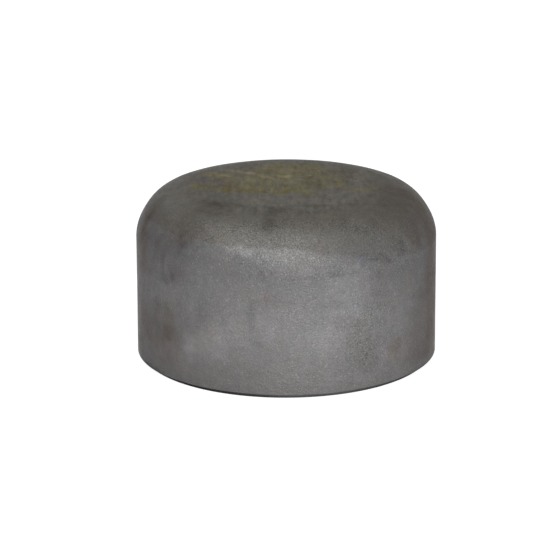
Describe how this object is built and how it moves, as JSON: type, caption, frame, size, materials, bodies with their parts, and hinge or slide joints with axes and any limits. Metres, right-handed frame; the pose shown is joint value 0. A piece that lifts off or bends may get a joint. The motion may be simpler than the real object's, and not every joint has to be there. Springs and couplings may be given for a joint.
{
  "type": "butt weld cap",
  "caption": "Pressed steel end cap for a pipe: a straight skirt, a rounded knuckle and a nearly flat crown, with a bevelled end for a butt weld.",
  "frame": {"origin": "centre of the open end, in the plane of the root face", "axes": "+Z along the cap's axis, from the open end to the crown; X and Y are free, because the cap is round"},
  "size_m": [0.0888, 0.0888, 0.051],
  "materials": {
    "steel": "shot-blasted, matt, with light heat stains"
  },
  "bodies": {
    "root": {"weld_cap": "steel"}
  },
  "joints": []
}
